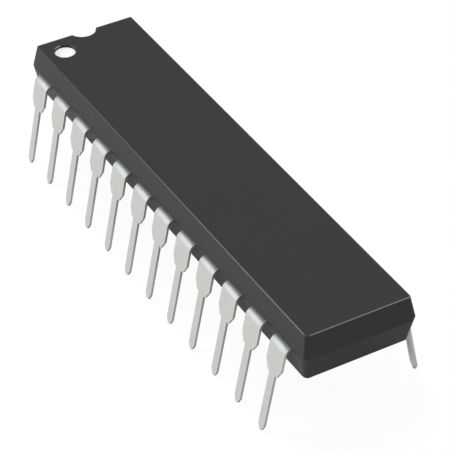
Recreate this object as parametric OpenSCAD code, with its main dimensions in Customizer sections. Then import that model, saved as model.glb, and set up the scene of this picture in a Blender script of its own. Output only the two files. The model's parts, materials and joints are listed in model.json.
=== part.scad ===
// Dual in-line integrated circuit: a moulded epoxy package with two rows of
// sheet-metal leads, which run inside it to a chip on a sunk pad.
// Millimetres. X runs along the package with the notch at -X, Z is up, and the
// origin is the middle of the plane that the lead tips stand on.

/* [Package] */
// Height of the moulding above the parting line
cover_height = 1.48; // [1.3:0.01:1.9]
// Height of the moulding below the parting line
base_height = 1.46; // [1.3:0.01:1.9]
// Width across the long sides at the parting line
body_width = 7; // [6.6:0.05:7.6]
// From the last lead's centre to the end of the body
end_margin = 1.97; // [1.5:0.01:2.4]
// Draft of the mould's walls in degrees
draft = 10; // [5:0.5:12]
// Radius of the upright corners above the parting line
cover_corner = 0.18; // [0.05:0.01:0.6]
// Radius of the upright corners below the parting line
base_corner = 0.38; // [0.2:0.01:0.6]
// Radius of the worn edge round the top and bottom faces
edge_radius = 0.07; // [0.02:0.01:0.12]
// Radius of the worn rim of the notch and the dimple
rim_radius = 0.03; // [0.01:0.01:0.06]
// Height of the upright band along the parting line
parting_band = 0.1; // [0.04:0.01:0.2]

/* [Marks in the moulding] */
// Radius of the index notch, centred on the end of the body
notch_radius = 0.86; // [0.6:0.01:1.1]
// Diameter of the first lead's dimple at its rim
dimple_diameter = 1.31; // [1:0.01:1.8]
// Depth of the dimple
dimple_depth = 0.15; // [0.08:0.01:0.3]
// Slope of the dimple's wall from upright, in degrees
dimple_slope = 10; // [5:1:30]
// From the end of the body to the middle of the dimple
dimple_from_end = 1.66; // [1.4:0.01:2.6]
// From the long side of the body to the middle of the dimple
dimple_from_side = 1.49; // [1.3:0.01:2.2]
// Thickness of the paint on the dimple's floor
paint_thickness = 0.02; // [0.01:0.005:0.05]
// Diameter of the two ejector marks underneath
ejector_diameter = 2; // [1:0.1:3]
// Depth of the ejector marks
ejector_depth = 0.06; // [0.03:0.01:0.15]
// From the end of the body to the middle of each ejector mark
ejector_from_end = 4.6; // [3:0.1:7]

/* [Leads] */
// Leads in each of the two rows
leads_per_row = 12; // [8:2:12]
// Pitch of the leads in a row
lead_pitch = 2.54; // [2.5:0.01:2.6]
// Thickness of the lead frame's sheet
sheet = 0.15; // [0.12:0.01:0.24]
// Width of a lead's shoulder
shoulder_width = 1.5; // [1.2:0.01:1.7]
// Width of the stepped foot that the shoulder tapers to
step_width = 0.9; // [0.75:0.01:1.1]
// Height of the taper from the shoulder to the step
taper_height = 0.53; // [0.3:0.01:0.8]
// Width of a leg
leg_width = 0.56; // [0.4:0.01:0.62]
// Height of the step above the tip of the leg
leg_height = 3.69; // [2.9:0.01:3.9]
// Width of the flat at the tip of a leg
tip_width = 0.2; // [0.1:0.01:0.35]
// Height of the tip's chamfers
tip_height = 0.33; // [0.2:0.01:0.6]
// From the step up to the underside of the body
stand_off = 0.41; // [0.38:0.01:0.8]
// Inside radius of the bend beside the body
bend_radius = 0.31; // [0.2:0.01:0.35]
// Splay of the legs from upright, in degrees
splay = 11.2; // [0:0.1:13]

/* [Lead frame inside] */
// How far the shoulder reaches into the moulding
anchor_depth = 0.65; // [0.6:0.01:0.7]
// Diameter of the hole that locks a lead in the moulding
lock_hole_diameter = 0.4; // [0.2:0.01:0.45]
// Width of the fingers that reach in to the chip
finger_width = 0.25; // [0.18:0.01:0.27]
// Width of the band beside the pad that the fingers run in
finger_band = 1.25; // [1.15:0.01:1.3]
// Length of a finger's slanted elbow, measured along the package
elbow = 0.5; // [0.2:0.01:0.6]
// Gap between a finger's end and the pad
finger_gap = 0.25; // [0.2:0.01:0.3]
// Spacing of the finger ends along the pad's long side
end_pitch = 0.96; // [0.8:0.01:1]
// Length of the pad under the chip
pad_length = 6; // [5.6:0.05:6.4]
// How far the pad is sunk below the fingers
pad_drop = 0.24; // [0.1:0.01:0.3]
// Width of the bars that hold the pad
tie_width = 0.3; // [0.2:0.01:0.34]
// Moulding left over the end of a tie bar
tie_cover = 0.35; // [0.2:0.01:0.8]

/* [Chip] */
// Pad left bare past each end of the chip
chip_end_margin = 0.8; // [0.4:0.05:1]
// Pad left bare along each side of the chip
chip_side_margin = 0.35; // [0.25:0.01:0.6]
// Thickness of the chip
chip_thickness = 0.3; // [0.2:0.01:0.4]
// Thickness of the adhesive under the chip
glue_thickness = 0.03; // [0.02:0.005:0.05]
// How far the adhesive spreads past the chip
glue_margin = 0.1; // [0.05:0.01:0.2]
// Diameter of the bond wires
wire_diameter = 0.04; // [0.03:0.005:0.06]
// Angle between a bond wire's ends and the straight line that joins them
loop_angle = 55; // [40:1:65]
// From the edge of the chip to the middle of a bond
bond_inset = 0.12; // [0.08:0.01:0.2]
// From the end of a finger to the middle of the wire's stitch
stitch_inset = 0.15; // [0.1:0.01:0.25]
// Diameter of the ball that starts a bond wire
ball_diameter = 0.1; // [0.08:0.01:0.12]
// Height of the ball
ball_height = 0.04; // [0.02:0.005:0.06]
// Diameter of the pressed stitch that ends a bond wire
stitch_diameter = 0.12; // [0.08:0.01:0.16]
// Height of the stitch
stitch_height = 0.03; // [0.025:0.005:0.04]

/* [Hidden] */
node = "all";
$fn = 48;
epoxy = [0.25, 0.25, 0.24];
tinned = [0.78, 0.79, 0.78];
bare_copper = [0.72, 0.5, 0.36];
silicon = [0.36, 0.38, 0.44];
silver_glue = [0.6, 0.6, 0.58];
gold = [0.9, 0.72, 0.3];
white_paint = [0.96, 0.96, 0.95];

// Heights above the lead tips
underside_z = leg_height + stand_off;
parting_z = underside_z + base_height;
top_z = parting_z + cover_height;
finger_top_z = parting_z + sheet / 2;
bend_z = parting_z - sheet / 2 - bend_radius;
pad_top_z = finger_top_z - pad_drop;
chip_bottom_z = pad_top_z + glue_thickness;
chip_top_z = chip_bottom_z + chip_thickness;

// Outline of the moulding
row_half = (leads_per_row - 1) * lead_pitch / 2;
body_half = row_half + end_margin;
side_half = body_width / 2;
dimple_floor_diameter = dimple_diameter - 2 * dimple_depth * tan(dimple_slope);
dimple_x = -body_half + dimple_from_end;
dimple_y = -side_half + dimple_from_side;
fillet_steps = 4;
past = 1;

// Sorting of the leads: one quarter of them is drawn, and the rest mirror it
lead_count = 2 * leads_per_row;
quarter = leads_per_row / 2;
end_fingers = floor(quarter / 2);
side_fingers = quarter - end_fingers;
anchor_y = side_half - anchor_depth;
side_end_y = anchor_y - finger_band;
pad_width = 2 * (side_end_y - finger_gap);
run_pitch = (side_end_y - finger_width / 2) / end_fingers;
side_run_pitch = (finger_band - 1.5 * finger_width) / max(side_fingers - 1, 1);
end_stop_x = pad_length / 2 + finger_gap;
chip_length = pad_length - 2 * chip_end_margin;
chip_width = pad_width - 2 * chip_side_margin;

function numbered(name, n) = str(name, n < 10 ? "0" : "", n);
function lead_name(n) = numbered("lead_", n);
function wire_name(n) = numbered("bond_wire_", n);
NODES = concat(
    ["package_body", "pin_one_mark", "die_pad", "die_attach", "silicon_die"],
    [for (n = [1 : lead_count]) lead_name(n)],
    [for (n = [1 : lead_count]) wire_name(n)]
);

// Leads are counted along the near row from the notch, then back along the far row
function near_row(n) = n <= leads_per_row;
function place_in_row(n) = near_row(n) ? n : lead_count + 1 - n;
function notch_half(n) = place_in_row(n) <= quarter;
function from_end(n) = notch_half(n) ? place_in_row(n) : leads_per_row + 1 - place_in_row(n);

// A quarter's own places: x is negative towards the notch, y towards the near row
function lead_x(m) = -row_half + (m - 1) * lead_pitch;
function side_end_x(m) = -(quarter - m + 0.5) * end_pitch;
function side_run_y(m) = side_end_y + (m - end_fingers) * side_run_pitch;

function end_finger_path(m) =
    let (x = lead_x(m))
    let (y = m * run_pitch)
    [[x, -anchor_y - finger_width], [x, -y - elbow], [x + elbow, -y], [-end_stop_x, -y]];

function side_finger_path(m) =
    let (x = lead_x(m))
    let (y = side_run_y(m))
    let (turn = min(elbow, anchor_y - y))
    let (end_x = side_end_x(m))
    let (straight_y = side_end_y + finger_width)
    [
        [x, -anchor_y - finger_width],
        [x, -y - turn],
        [x + turn, -y],
        [end_x - (y - straight_y), -y],
        [end_x, -straight_y],
        [end_x, -side_end_y]
    ];

function middle_finger_path(m) =
    let (x = lead_x(m))
    let (end_x = side_end_x(m))
    let (straight_y = side_end_y + finger_width)
    [
        [x, -anchor_y - finger_width],
        [x, -straight_y - (end_x - x)],
        [end_x, -straight_y],
        [end_x, -side_end_y]
    ];

function finger_path(m) =
    m <= end_fingers ? end_finger_path(m) : m < quarter ? side_finger_path(m) : middle_finger_path(m);

// Outline of a band of even width along a path, with mitred corners
function heading(a, b) = (b - a) / norm(b - a);
function left_of(direction) = [-direction[1], direction[0]];
function mitre(path, i) =
    let (last = len(path) - 1)
    let (before = left_of(heading(path[max(i, 1) - 1], path[max(i, 1)])))
    let (after = left_of(heading(path[min(i, last - 1)], path[min(i, last - 1) + 1])))
    (before + after) / ((before + after) * before);
function band(path, width) =
    let (last = len(path) - 1)
    concat(
        [for (i = [0 : last]) path[i] + mitre(path, i) * width / 2],
        [for (i = [last : -1 : 0]) path[i] - mitre(path, i) * width / 2]
    );

// Arc that rounds the edge where a wall that leans by slope meets a level face
function worn_edge(radius, slope, height, inset, side) =
    let (turned = 90 - slope)
    let (tangent = radius * tan(turned / 2))
    let (centre = [inset + tangent, side * (height - radius)])
    [
        for (i = [0 : fillet_steps])
            let (a = slope + turned * i / fillet_steps)
            centre + radius * [-cos(a), side * sin(a)]
    ];

// Half section of the moulding, as [distance in from its widest line, height]
function wall_inset(height) = (height - parting_band / 2) * tan(draft);
function reversed(points) = [for (i = [len(points) - 1 : -1 : 0]) points[i]];
wall_points = concat(
    reversed(worn_edge(edge_radius, draft, base_height, wall_inset(base_height), -1)),
    [[0, -parting_band / 2], [0, parting_band / 2]],
    worn_edge(edge_radius, draft, cover_height, wall_inset(cover_height), 1)
);

// Section across the moulding, from one wall to the other
module cross_section(half) {
    polygon(concat(
        [for (p = wall_points) [half - p[0], p[1]]],
        [for (p = reversed(wall_points)) [p[0] - half, p[1]]]
    ));
}

// What a rounded corner leaves off, where two walls that lean by slope meet at the origin
module corner_cut(radius, slope, height) {
    lean = atan(sqrt(2) * tan(slope));
    half_turn = acos(sin(slope) * sin(slope)) / 2;
    reach = radius + past;
    axis = -radius / cos(slope);
    translate([axis, axis, 0])
        rotate([0, 0, 45])
            rotate([0, -lean, 0])
                translate([0, 0, -past])
                    linear_extrude(height + 2 * past)
                        difference() {
                            polygon([
                                [0, 0],
                                reach * [cos(half_turn), -sin(half_turn)],
                                [reach / cos(half_turn), 0],
                                reach * [cos(half_turn), sin(half_turn)]
                            ]);
                            circle(r = radius);
                        }
}

// Drafted block of the moulding before anything is taken out of it
module moulding() {
    difference() {
        intersection() {
            translate([-body_half, 0, 0])
                rotate([90, 0, 90])
                    linear_extrude(2 * body_half)
                        cross_section(side_half);
            translate([0, side_half, 0])
                rotate([90, 0, 0])
                    linear_extrude(2 * side_half)
                        cross_section(body_half);
        }
        for (end = [0, 1])
            for (side = [0, 1])
                mirror([end, 0, 0])
                    mirror([0, side, 0])
                        translate([body_half, side_half, 0]) {
                            corner_cut(cover_corner, 0, parting_band / 2);
                            translate([0, 0, parting_band / 2])
                                corner_cut(cover_corner, draft, cover_height);
                            mirror([0, 0, 1])
                                translate([0, 0, parting_band / 2])
                                    corner_cut(base_corner, draft, base_height);
                        }
    }
}

// Round recess in the top face, with a sloping wall and a worn rim
module recess(radius, slope, depth) {
    rim = worn_edge(rim_radius, slope, 0, radius, 1);
    translate([0, 0, top_z])
        rotate_extrude()
            polygon(concat(
                [[0, -depth], [radius - depth * tan(slope), -depth]],
                rim,
                [[rim[fillet_steps][0], past], [0, past]]
            ));
}

// The notch goes down to the lead frame, whose tie bar lies bare in its floor
module index_notch() {
    translate([-body_half, 0, 0])
        recess(notch_radius, draft, top_z - finger_top_z);
}

module dimple() {
    translate([dimple_x, dimple_y, 0])
        recess(dimple_diameter / 2, dimple_slope, dimple_depth);
}

module ejector_marks() {
    for (side = [-1, 1])
        translate([side * (body_half - ejector_from_end), 0, underside_z - past])
            cylinder(d = ejector_diameter, h = past + ejector_depth);
}

// Moves one quarter's shape to where lead n has it
module in_quarter_of(n) {
    mirror([notch_half(n) ? 0 : 1, 0, 0])
        mirror([0, near_row(n) ? 0 : 1, 0])
            children();
}

// Flat part of a lead in the parting plane, from its bend in to the chip
module lead_inside(m, reach) {
    wall = [lead_x(m), -side_half];
    translate([wall[0], wall[1], parting_z - sheet / 2])
        linear_extrude(sheet)
            difference() {
                union() {
                    translate([-shoulder_width / 2, -reach])
                        square([shoulder_width, anchor_depth + reach]);
                    polygon([for (p = band(finger_path(m), finger_width)) p - wall]);
                }
                translate([0, anchor_depth / 2])
                    circle(d = lock_hole_diameter);
            }
}

// Outline of a flattened leg, as [across, up from the end of its bend]
function leg_outline() =
    let (level = [0, tip_height, leg_height, leg_height + taper_height])
    let (up = [for (z = level) (z - bend_z - bend_radius * sin(splay)) / cos(splay)])
    let (side = [
        [tip_width / 2, up[0]],
        [leg_width / 2, up[1]],
        [leg_width / 2, up[2]],
        [step_width / 2, up[2]],
        [shoulder_width / 2, up[3]],
        [shoulder_width / 2, 0]
    ])
    concat(side, [for (p = reversed(side)) [-p[0], p[1]]]);

// Bend and leg of a lead outside the moulding
module lead_outside(m) {
    translate([lead_x(m), -side_half, bend_z])
        rotate([90, 0, -90])
            rotate([0, 0, splay]) {
                rotate_extrude(angle = 90 - splay)
                    translate([bend_radius, -shoulder_width / 2])
                        square([sheet, shoulder_width]);
                translate([bend_radius, 0, 0])
                    rotate([0, 90, 0])
                        linear_extrude(sheet)
                            polygon(leg_outline());
            }
}

module lead(n) {
    color(tinned)
        in_quarter_of(n) {
            lead_inside(from_end(n), 0);
            lead_outside(from_end(n));
        }
}

// Pad under the chip, sunk below the fingers, with a tie bar at each end
module die_pad() {
    tie_path = [
        [pad_length / 2 - sheet, parting_z - pad_drop],
        [end_stop_x, parting_z - pad_drop],
        [end_stop_x + pad_drop, parting_z],
        [body_half - tie_cover, parting_z]
    ];
    color(bare_copper) {
        translate([-pad_length / 2, -pad_width / 2, pad_top_z - sheet])
            cube([pad_length, pad_width, sheet]);
        for (side = [0, 1])
            mirror([side, 0, 0])
                translate([0, tie_width / 2, 0])
                    rotate([90, 0, 0])
                        linear_extrude(tie_width)
                            polygon(band(tie_path, sheet));
    }
}

module die_attach() {
    glue_length = chip_length + 2 * glue_margin;
    glue_width = chip_width + 2 * glue_margin;
    color(silver_glue)
        translate([-glue_length / 2, -glue_width / 2, pad_top_z])
            cube([glue_length, glue_width, glue_thickness]);
}

module silicon_die() {
    color(silicon)
        translate([-chip_length / 2, -chip_width / 2, chip_bottom_z])
            cube([chip_length, chip_width, chip_thickness]);
}

// Where a quarter's wire starts on the chip and ends on its finger
function bond_start(m) =
    let (x = chip_length / 2 - bond_inset)
    let (y = chip_width / 2 - bond_inset)
    m <= end_fingers ? [-x, -y * m / end_fingers] : [-x * (quarter - m + 0.5) / side_fingers, -y];
function bond_end(m) =
    m <= end_fingers
        ? [-end_stop_x - stitch_inset, -m * run_pitch]
        : [side_end_x(m), -side_end_y - stitch_inset];

// Wire that arches from the ball on the chip down to the stitch on its finger
module wire_shape(m) {
    start = bond_start(m);
    span = bond_end(m) - start;
    ball_z = chip_top_z + ball_height / 2;
    stitch_z = finger_top_z + stitch_height / 2;
    chord = [norm(span), stitch_z - ball_z];
    arch_radius = norm(chord) / 2 / sin(loop_angle);
    translate([start[0], start[1], 0])
        rotate([0, 0, atan2(span[1], span[0])]) {
            translate([0, 0, chip_top_z])
                cylinder(d = ball_diameter, h = ball_height);
            translate([0, 0, ball_z])
                rotate([90, 0, 0])
                    rotate([0, 0, atan2(chord[1], chord[0])])
                        translate([norm(chord) / 2, -arch_radius * cos(loop_angle), 0])
                            rotate([0, 0, 90 - loop_angle])
                                rotate_extrude(angle = 2 * loop_angle)
                                    translate([arch_radius, 0])
                                        circle(d = wire_diameter);
            translate([norm(span), 0, finger_top_z])
                cylinder(d = stitch_diameter, h = stitch_height);
        }
}

module bond_wire(n) {
    color(gold)
        in_quarter_of(n)
            wire_shape(from_end(n));
}

module pin_one_mark() {
    color(white_paint)
        translate([dimple_x, dimple_y, top_z - dimple_depth])
            cylinder(
                d1 = dimple_floor_diameter,
                d2 = dimple_floor_diameter + 2 * paint_thickness * tan(dimple_slope),
                h = paint_thickness
            );
}

// Moulded round everything inside, so each piece there leaves its own pocket
module package_body() {
    color(epoxy)
        difference() {
            translate([0, 0, parting_z])
                moulding();
            index_notch();
            dimple();
            ejector_marks();
            die_pad();
            die_attach();
            silicon_die();
            for (n = [1 : lead_count])
                in_quarter_of(n) {
                    lead_inside(from_end(n), past);
                    wire_shape(from_end(n));
                }
        }
}

function wanted(name) = node == "all" || node == name;
if (wanted("package_body")) package_body();
if (wanted("pin_one_mark")) pin_one_mark();
if (wanted("die_pad")) die_pad();
if (wanted("die_attach")) die_attach();
if (wanted("silicon_die")) silicon_die();
for (n = [1 : lead_count]) if (wanted(lead_name(n))) lead(n);
for (n = [1 : lead_count]) if (wanted(wire_name(n))) bond_wire(n);
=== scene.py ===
"""A dual in-line integrated circuit on a white sweep, seen from above its near end."""
import json
import math

import bpy
from mathutils import Matrix, Vector


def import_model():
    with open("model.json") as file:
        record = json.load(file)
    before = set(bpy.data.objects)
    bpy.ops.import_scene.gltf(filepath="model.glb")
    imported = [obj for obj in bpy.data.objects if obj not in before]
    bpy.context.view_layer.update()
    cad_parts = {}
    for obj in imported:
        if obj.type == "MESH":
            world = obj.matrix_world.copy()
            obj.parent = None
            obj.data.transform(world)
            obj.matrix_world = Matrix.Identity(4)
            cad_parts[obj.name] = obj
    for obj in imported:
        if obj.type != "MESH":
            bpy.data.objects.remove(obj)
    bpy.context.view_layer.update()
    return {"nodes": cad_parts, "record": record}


MM = 0.001

# Camera, as solved from the photograph
AZIMUTH = math.radians(60.4966)
ELEVATION = math.radians(37.9673)
ROLL = math.radians(-0.5785)
DISTANCE = 133.058 * MM
ACROSS = 0.8045 * MM
RAISED = -1.888 * MM
LOOKED_AT = Vector((0, 0, 4.92 * MM))
FOCAL_PIXELS = 2327.3675
PHOTO_WIDTH = 450
SENSOR = 36
NEAREST_SEEN = 10 * MM
FARTHEST_SEEN = 10

# Room: dim above, pale at the horizon, with one window low at the left.
# The horizon fades between two heights, and the window between two cosines from its middle.
ROOM = 0.27
HORIZON = 0.84
HORIZON_FADES = (0.08, 0.22)
WINDOW = 1.15
WINDOW_FADES = (0.71, 0.96)
TOWARDS_WINDOW = Vector((-0.6, -0.70, 0.38)).normalized()
DIM_TINT = (0.925, 0.935, 0.985)
PALE_TINT = (0.96, 0.972, 1.0)

# Lamps: the direction towards each, its strength, its spread in degrees and its colour
LAMPS = {
    "overhead": (Vector((-0.45, -0.05, 0.89)).normalized(), 2.15, 30, (1.0, 0.99, 0.97)),
    "low_left": (Vector((-0.65, -0.70, 0.30)).normalized(), 1.1, 10, (0.90, 0.96, 1.0)),
}

# Floor: as it lights the object, as a gloss mirrors it, and as it is seen
FLOOR_SIZE = 6
FLOOR_HEIGHT = -0.01 * MM
FLOOR_BOUNCE = (0.87, 0.83, 0.755)
FLOOR_MIRRORED = (0.665, 0.66, 0.645)
MIRRORED_GLOW = (0.13, 0.125, 0.115)
FLOOR_SEEN = (0.07, 0.07, 0.07)
SEEN_GLOW = (0.945, 0.945, 0.945)

# Edges of the leads
WELDED_WITHIN = 0.0005 * MM
LEAD_EDGE = 0.01 * MM
EDGE_STEPS = 2
SHARP = math.radians(35)

# Most of a noise lies between these
NOISE_SPAN = (0.3, 0.7)

# Black epoxy. A pair is a material's range over a noise.
EPOXY = ((0.0400, 0.0401, 0.0379), (0.0432, 0.0433, 0.0409))
EPOXY_ROUGHNESS = (0.35, 0.40)
EPOXY_SPECULAR = 0.135
# Painted shade on the dimple's steep wall
PAINTED_SHADE = (0.008, 0.008, 0.007)
# Painted highlight on the top's edges and the dimple's rim
PAINTED_EDGE_HIGHLIGHT = (0.45, 0.45, 0.44)
GRAIN_DEPTH = 0.0025 * MM
FINE_GRAIN_DEPTH = 0.0012 * MM

# Tin plate. The rolled sheet's noise is finer along X, across the legs, so it lies in lines along them.
TIN = ((0.69, 0.705, 0.697), (0.742, 0.757, 0.749))
TIN_ROUGHNESS = (0.34, 0.27)
# Cut faces: dull metal, darkened further with painted shade
CUT_AND_SHADED_METAL = (0.57, 0.575, 0.56)
ROLLED = (16, 1, 1)
ROLLED_DEPTH = 0.0012 * MM
ROLLED_STRENGTH = 0.5
CRYSTAL_DEPTH = 0.0012 * MM
CRYSTAL_STRENGTH = 0.6

# White paint
PAINT = ((0.945, 0.945, 0.93), (0.98, 0.98, 0.965))
PAINT_ROUGHNESS = (0.45, 0.6)
DAB_DEPTH = 0.006 * MM

# Finishes sealed in the moulding: two colours, metallic, mean roughness and how fine the noise is
INNER_FINISHES = {
    "bare_copper": ((0.60, 0.30, 0.18), (0.70, 0.38, 0.24), 1.0, 0.35, 4),
    "silver_adhesive": ((0.42, 0.42, 0.40), (0.52, 0.52, 0.50), 0.6, 0.5, 9),
    "silicon": ((0.10, 0.11, 0.15), (0.14, 0.15, 0.19), 0.8, 0.15, 2),
    "gold_wire": ((0.85, 0.60, 0.22), (0.92, 0.68, 0.28), 1.0, 0.2, 12),
}
ROUGHNESS_VARIES = 0.15
INNER_DEPTH = 0.002 * MM

# Places on the package, in millimetres. A pair is where a look starts to change and where it has changed.
TOP = 7.04
END_X = 15.65
NEAR_Y = -3.2
RIM_HEIGHT = (TOP - 0.1, TOP - 0.06)
NOTCH_TO_END = (-13, 14)
PAST_END = (END_X - 0.25, END_X - 0.1)
FAR_CORNER = (2.6, 3.1)
NEAR_CORNER = (NEAR_Y + 0.05, NEAR_Y + 0.35)
DIMPLE = (-14.28, -2.01, 0)
DIMPLE_RADIUS = 0.655
DIMPLE_FAR_SIDE = (-0.886, 0.463, 0)
DIMPLE_LEFT_SIDE = (-0.49, -0.87, 0)
ARC_REACH = (DIMPLE_RADIUS + 0.03, DIMPLE_RADIUS + 0.06)
ARC_HEIGHT = (TOP - 0.03, TOP - 0.015)
WALL_REACH = (DIMPLE_RADIUS + 0.1, DIMPLE_RADIUS + 0.2)
WALL_HEIGHT = (TOP - 0.3, TOP - 0.2)

# Directions: the Z, or on the leads the X, of the way that a surface faces, and cosines round the dimple
OUT_OF_WALL = (0.5, 0.72)
INTO_TOP = (0.92, 1.0)
WALL_INTO_RIM = (0.3, 0.6)
ALONG_PACKAGE = (0.55, 0.85)
ARC_BEGINS = (0.3, 0.5)
ARC_ENDS = (0.86, 0.94)
RIGHT_TO_LEFT = (-0.2, 0.2)

# How strongly the highlight is painted on each part of the rim, from 0 to 1
SIDE_HIGHLIGHT = (0.07, 0.42)
END_HIGHLIGHT = (0.75, 1)
CORNER_HIGHLIGHT = 0.05
ARC_HIGHLIGHT = (0.22, 1)


def add_camera():
    back = Vector((
        math.sin(AZIMUTH) * math.cos(ELEVATION),
        -math.cos(AZIMUTH) * math.cos(ELEVATION),
        math.sin(ELEVATION),
    ))
    level = Vector((0, 0, 1)).cross(back).normalized()
    upright = back.cross(level)
    right = level * math.cos(ROLL) + upright * math.sin(ROLL)
    up = upright * math.cos(ROLL) - level * math.sin(ROLL)
    data = bpy.data.cameras.new("camera")
    data.sensor_width = SENSOR
    data.lens = FOCAL_PIXELS / PHOTO_WIDTH * SENSOR
    data.clip_start = NEAREST_SEEN
    data.clip_end = FARTHEST_SEEN
    camera = bpy.data.objects.new("camera", data)
    camera.matrix_world = Matrix.Translation(
        LOOKED_AT + back * DISTANCE + right * ACROSS + up * RAISED
    ) @ Matrix((right, up, back)).transposed().to_4x4()
    bpy.context.scene.collection.objects.link(camera)
    bpy.context.scene.camera = camera


def set_inputs(tree, node, inputs):
    """Links an input to the socket that it is given, or sets it to the value."""
    for key, value in inputs.items():
        if isinstance(value, bpy.types.NodeSocket):
            tree.links.new(value, node.inputs[key])
        else:
            node.inputs[key].default_value = value


def add_node(tree, kind, inputs=None, **settings):
    node = tree.nodes.new(kind)
    for key, value in settings.items():
        setattr(node, key, value)
    set_inputs(tree, node, inputs or {})
    return node


def object_place(tree, stretch=(1, 1, 1)):
    """Object coordinates in millimetres, stretched along the axes."""
    coordinates = add_node(tree, "ShaderNodeTexCoord").outputs["Object"]
    scale = [along / MM for along in stretch]
    return add_node(tree, "ShaderNodeMapping", {"Vector": coordinates, "Scale": scale}).outputs["Vector"]


def axes(tree, vector):
    """The X, Y and Z of a vector."""
    return add_node(tree, "ShaderNodeSeparateXYZ", {0: vector}).outputs


def surface_facing(tree):
    """The X, Y and Z of the way that the surface faces."""
    return axes(tree, add_node(tree, "ShaderNodeTexCoord").outputs["Normal"])


def number_math(tree, operation, *numbers):
    return add_node(tree, "ShaderNodeMath", dict(enumerate(numbers)), operation=operation).outputs[0]


def vector_math(tree, operation, *vectors):
    return add_node(tree, "ShaderNodeVectorMath", dict(enumerate(vectors)), operation=operation).outputs


def product(tree, first, *others):
    result = first
    for other in others:
        result = number_math(tree, "MULTIPLY", result, other)
    return result


def larger(tree, first, second):
    return number_math(tree, "MAXIMUM", first, second)


def noise(tree, place, scale, detail=3.0, roughness=0.5):
    return add_node(
        tree, "ShaderNodeTexNoise",
        {"Vector": place, "Scale": scale, "Detail": detail, "Roughness": roughness},
    ).outputs["Fac"]


def between(tree, value, results, span=NOISE_SPAN, kind="LINEAR"):
    """Maps a value in a span to a pair of results, and keeps to the nearer one outside the span."""
    start, stop = span
    low, high = results
    return add_node(
        tree, "ShaderNodeMapRange",
        {"Value": value, "From Min": start, "From Max": stop, "To Min": low, "To Max": high},
        interpolation_type=kind,
    ).outputs["Result"]


def rising(tree, value, span):
    """0 below the span and 1 above it."""
    return between(tree, value, (0, 1), span)


def falling(tree, value, span):
    """1 below the span and 0 above it."""
    return between(tree, value, (1, 0), span)


def with_alpha(colour):
    """A colour as a node takes it, from a socket or three numbers."""
    if isinstance(colour, bpy.types.NodeSocket):
        return colour
    return (*colour, 1)


def blended(tree, factor, first, second):
    """Mixes two colours, each a socket or three numbers."""
    inputs = {"Factor": factor, "A": with_alpha(first), "B": with_alpha(second)}
    return add_node(tree, "ShaderNodeMix", inputs, data_type="RGBA").outputs["Result"]


def bumped(tree, height, depth, strength=1.0, normal=None):
    inputs = {"Height": height, "Distance": depth, "Strength": strength}
    if normal is not None:
        inputs["Normal"] = normal
    return add_node(tree, "ShaderNodeBump", inputs).outputs["Normal"]


def from_dimple(tree, place):
    """The level way to a point from the middle of the dimple."""
    offset = vector_math(tree, "SUBTRACT", place, DIMPLE)["Vector"]
    return vector_math(tree, "MULTIPLY", offset, (1, 1, 0))["Vector"]


def rim_highlight_arcs(tree, place):
    """Painted highlight on the dimple's rim: one arc to the left of its far side, and a fainter one to the
    right.
    """
    way = from_dimple(tree, place)
    reach = vector_math(tree, "LENGTH", way)["Value"]
    direction = vector_math(tree, "NORMALIZE", way)["Vector"]
    far = vector_math(tree, "DOT_PRODUCT", direction, DIMPLE_FAR_SIDE)["Value"]
    left = vector_math(tree, "DOT_PRODUCT", direction, DIMPLE_LEFT_SIDE)["Value"]
    return product(
        tree,
        falling(tree, reach, ARC_REACH),
        rising(tree, far, ARC_BEGINS),
        falling(tree, far, ARC_ENDS),
        rising(tree, axes(tree, place)["Z"], ARC_HEIGHT),
        between(tree, left, ARC_HIGHLIGHT, RIGHT_TO_LEFT),
    )


def edge_highlight_mask(tree, place):
    """How strong the painted highlight on the top's edges is: least at the notch, most at the near end, bar
    its near corner.
    """
    facing = surface_facing(tree)["Z"]
    at = axes(tree, place)
    rim = product(
        tree,
        rising(tree, facing, OUT_OF_WALL),
        falling(tree, facing, INTO_TOP),
        rising(tree, at["Z"], RIM_HEIGHT),
    )
    past_end = rising(tree, at["X"], PAST_END)
    side = between(tree, at["X"], SIDE_HIGHLIGHT, NOTCH_TO_END)
    end = product(tree, past_end, between(tree, at["Y"], END_HIGHLIGHT, FAR_CORNER))
    corner = product(tree, past_end, falling(tree, at["Y"], NEAR_CORNER))
    kept = between(tree, corner, (1, CORNER_HIGHLIGHT), (0, 1))
    return larger(tree, product(tree, rim, larger(tree, side, end), kept), rim_highlight_arcs(tree, place))


def shaded_wall(tree, place):
    """1 on the wall of the dimple, where shade is painted."""
    reach = vector_math(tree, "LENGTH", from_dimple(tree, place))["Value"]
    return product(
        tree,
        falling(tree, reach, WALL_REACH),
        rising(tree, axes(tree, place)["Z"], WALL_HEIGHT),
        falling(tree, surface_facing(tree)["Z"], WALL_INTO_RIM),
    )


def cut_and_shaded_faces(tree):
    """1 on the faces that the stamping cut, which look along the package; they get dull cut metal together
    with painted shade.
    """
    return rising(tree, number_math(tree, "ABSOLUTE", surface_facing(tree)["X"]), ALONG_PACKAGE)


def new_material(name):
    """A material with its node tree, and its shader, ready to be wired."""
    material = bpy.data.materials.new(name)
    material.use_nodes = True
    tree = material.node_tree
    return material, tree, tree.nodes["Principled BSDF"]


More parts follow.
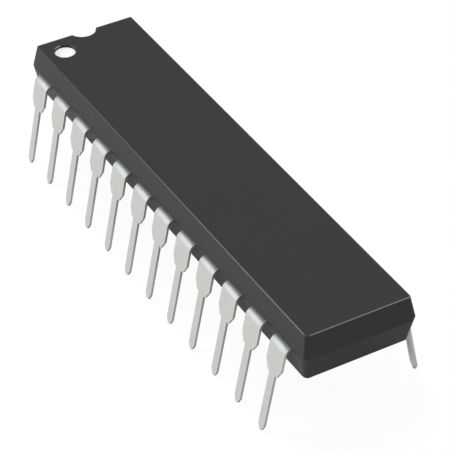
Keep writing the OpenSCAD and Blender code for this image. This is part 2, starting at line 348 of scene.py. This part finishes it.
def epoxy_material():
    """Black filled epoxy: a fine spark-eroded grain and slightly cloudy gloss, with a painted highlight on
    the top's edges and the dimple's rim, and painted shade on the dimple's wall.
    """
    material, tree, shader = new_material("moulded_epoxy")
    place = object_place(tree)
    cloud = noise(tree, place, scale=0.5, detail=4)
    grain = noise(tree, place, scale=14, detail=2, roughness=0.6)
    fine_grain = noise(tree, place, scale=45, detail=1)
    clean = blended(tree, cloud, *EPOXY)
    # Painted shade on the dimple's wall
    with_painted_shade = blended(tree, shaded_wall(tree, place), clean, PAINTED_SHADE)
    set_inputs(tree, shader, {
        # Painted highlight on the top's edges and the dimple's rim
        "Base Color": blended(tree, edge_highlight_mask(tree, place), with_painted_shade, PAINTED_EDGE_HIGHLIGHT),
        "Roughness": between(tree, cloud, EPOXY_ROUGHNESS),
        "Specular IOR Level": EPOXY_SPECULAR,
        "Normal": bumped(tree, fine_grain, FINE_GRAIN_DEPTH, normal=bumped(tree, grain, GRAIN_DEPTH)),
    })
    return material


def tinned_material():
    """Dull tin plate over rolled sheet: satin, mottled, faintly lined along the leg, dull where it is cut and
    darkened there with painted shade.
    """
    material, tree, shader = new_material("tinned_metal")
    place = object_place(tree)
    mottle = noise(tree, place, scale=2.2, detail=4, roughness=0.55)
    lines = noise(tree, object_place(tree, ROLLED), scale=1.2, detail=2)
    crystals = noise(tree, place, scale=20, detail=2, roughness=0.6)
    lined = bumped(tree, lines, ROLLED_DEPTH, ROLLED_STRENGTH)
    set_inputs(tree, shader, {
        # Cut faces darkened as dull metal and as painted shade
        "Base Color": blended(tree, cut_and_shaded_faces(tree), blended(tree, mottle, *TIN), CUT_AND_SHADED_METAL),
        "Metallic": 1.0,
        "Roughness": between(tree, mottle, TIN_ROUGHNESS),
        "Normal": bumped(tree, crystals, CRYSTAL_DEPTH, CRYSTAL_STRENGTH, lined),
    })
    return material


def paint_material():
    """White marking ink, a little uneven where it was dabbed in."""
    material, tree, shader = new_material("white_paint")
    dabs = noise(tree, object_place(tree), scale=5)
    set_inputs(tree, shader, {
        "Base Color": blended(tree, dabs, *PAINT),
        "Roughness": between(tree, dabs, PAINT_ROUGHNESS),
        "Normal": bumped(tree, dabs, DAB_DEPTH),
    })
    return material


def inner_material(name, first, second, metallic, roughness, fineness):
    """Finish of a piece that is sealed in the moulding."""
    material, tree, shader = new_material(name)
    cloud = noise(tree, object_place(tree), fineness)
    smoother = roughness * (1 - ROUGHNESS_VARIES)
    rougher = roughness * (1 + ROUGHNESS_VARIES)
    set_inputs(tree, shader, {
        "Base Color": blended(tree, cloud, first, second),
        "Metallic": metallic,
        "Roughness": between(tree, cloud, (smoother, rougher)),
        "Normal": bumped(tree, cloud, INNER_DEPTH),
    })
    return material


def make_materials():
    materials = {name: inner_material(name, *finish) for name, finish in INNER_FINISHES.items()}
    materials["moulded_epoxy"] = epoxy_material()
    materials["tinned_metal"] = tinned_material()
    materials["white_paint"] = paint_material()
    return materials


def weld(piece):
    modifier = piece.modifiers.new("weld", "WELD")
    modifier.merge_threshold = WELDED_WITHIN


def round_edges(piece, width, segments):
    bevel = piece.modifiers.new("edges", "BEVEL")
    bevel.width = width
    bevel.segments = segments
    bevel.limit_method = "ANGLE"
    bevel.angle_limit = SHARP
    bevel.use_clamp_overlap = True
    bevel.harden_normals = False


def shade_by_area(piece):
    """Smooth shading in which the large faces stay flat."""
    modifier = piece.modifiers.new("normals", "WEIGHTED_NORMAL")
    modifier.keep_sharp = True


def dress_nodes(frame, materials):
    """Gives each node its material, and each lead its slightly rounded edges."""
    slots = {part["node"]: part["material_slot"] for part in frame["record"]["subparts"]}
    for name, piece in frame["nodes"].items():
        piece.data.materials.clear()
        piece.data.materials.append(materials[slots[name]])
        if name.startswith("lead_"):
            weld(piece)
            round_edges(piece, LEAD_EDGE, EDGE_STEPS)
            shade_by_area(piece)


def diffuse(tree, colour):
    return add_node(tree, "ShaderNodeBsdfDiffuse", {"Color": with_alpha(colour)}).outputs[0]


def lit_and_glowing(tree, colour, glow):
    """A diffuse surface that also gives light of its own."""
    own = add_node(tree, "ShaderNodeEmission", {"Color": with_alpha(glow)}).outputs[0]
    return add_node(tree, "ShaderNodeAddShader", {0: diffuse(tree, colour), 1: own}).outputs[0]


def mixed_shaders(tree, factor, first, second):
    return add_node(tree, "ShaderNodeMixShader", {0: factor, 1: first, 2: second}).outputs[0]


def add_floor():
    """White sweep that keeps the object's shadow: white where it is seen, a little darker in a gloss."""
    bpy.ops.mesh.primitive_plane_add(size=FLOOR_SIZE, location=(0, 0, FLOOR_HEIGHT))
    floor = bpy.context.object
    floor.name = "floor"
    material = bpy.data.materials.new("white_sweep")
    material.use_nodes = True
    tree = material.node_tree
    tree.nodes.clear()
    path = add_node(tree, "ShaderNodeLightPath").outputs
    mirrored = lit_and_glowing(tree, FLOOR_MIRRORED, MIRRORED_GLOW)
    seen = lit_and_glowing(tree, FLOOR_SEEN, SEEN_GLOW)
    lighting = mixed_shaders(tree, path["Is Glossy Ray"], diffuse(tree, FLOOR_BOUNCE), mirrored)
    looked_at = larger(tree, path["Is Camera Ray"], path["Is Transmission Ray"])
    surface = mixed_shaders(tree, looked_at, lighting, seen)
    add_node(tree, "ShaderNodeOutputMaterial", {"Surface": surface})
    floor.data.materials.append(material)


def add_world():
    """The room round the object, the same for every ray."""
    world = bpy.data.worlds.new("studio")
    bpy.context.scene.world = world
    world.use_nodes = True
    tree = world.node_tree
    direction = add_node(tree, "ShaderNodeTexCoord").outputs["Generated"]
    facing = vector_math(tree, "DOT_PRODUCT", direction, TOWARDS_WINDOW)["Value"]
    window = between(tree, facing, (ROOM, WINDOW), WINDOW_FADES, "SMOOTHSTEP")
    horizon = between(tree, axes(tree, direction)["Z"], (HORIZON, ROOM), HORIZON_FADES, "SMOOTHSTEP")
    strength = larger(tree, window, horizon)
    tint = blended(tree, rising(tree, strength, (ROOM, HORIZON)), DIM_TINT, PALE_TINT)
    set_inputs(tree, tree.nodes["Background"], {"Color": tint, "Strength": strength})


def add_lamp(name, towards, strength, spread, colour):
    """Soft distant lamp that shapes the forms without a hot spot in the metal."""
    data = bpy.data.lights.new(name, "SUN")
    data.energy = strength
    data.angle = math.radians(spread)
    data.color = colour
    lamp = bpy.data.objects.new(name, data)
    lamp.rotation_mode = "QUATERNION"
    lamp.rotation_quaternion = towards.to_track_quat("Z", "Y")
    lamp.visible_glossy = False
    bpy.context.scene.collection.objects.link(lamp)


def main():
    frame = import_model()
    bpy.context.scene.view_settings.view_transform = "Standard"
    add_camera()
    dress_nodes(frame, make_materials())
    add_floor()
    add_world()
    for name, lamp in LAMPS.items():
        add_lamp(name, *lamp)


main()
